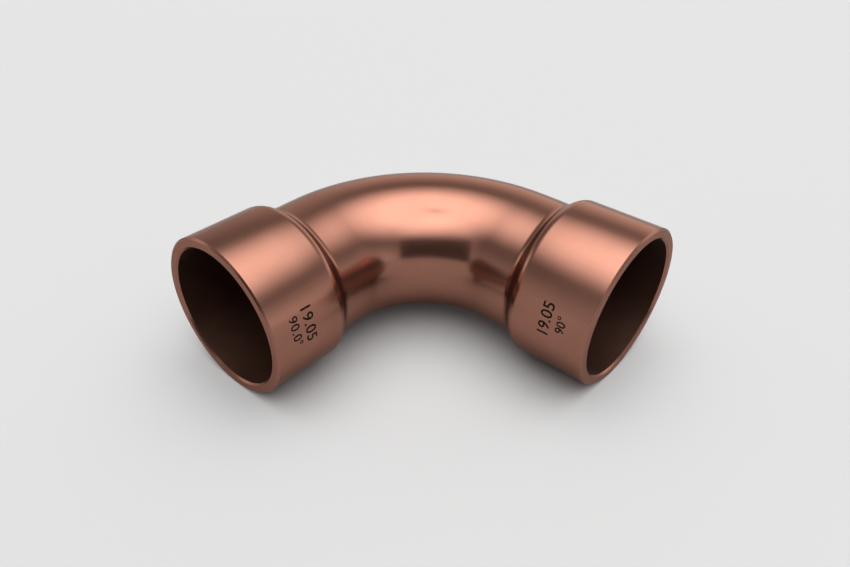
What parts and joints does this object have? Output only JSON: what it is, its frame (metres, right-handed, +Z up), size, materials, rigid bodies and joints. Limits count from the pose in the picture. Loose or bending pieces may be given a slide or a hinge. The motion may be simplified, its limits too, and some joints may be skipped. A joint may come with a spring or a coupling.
{
  "type": "pipe bend",
  "caption": "Right-angle copper alloy pipe bend with a long-radius tube body and a plain brazing socket formed at each end.",
  "frame": {"origin": "on the surface that the bend lies on, below the middle of its box", "axes": "+Z up, square to the plane of the two port axes; the right socket opens along +X and the left socket along -Y"},
  "size_m": [0.0478, 0.0478, 0.022],
  "materials": {
    "copper_alloy": "satin, evenly toned drawn copper alloy"
  },
  "bodies": {
    "root": {"pipe_bend": "copper_alloy"}
  },
  "joints": []
}
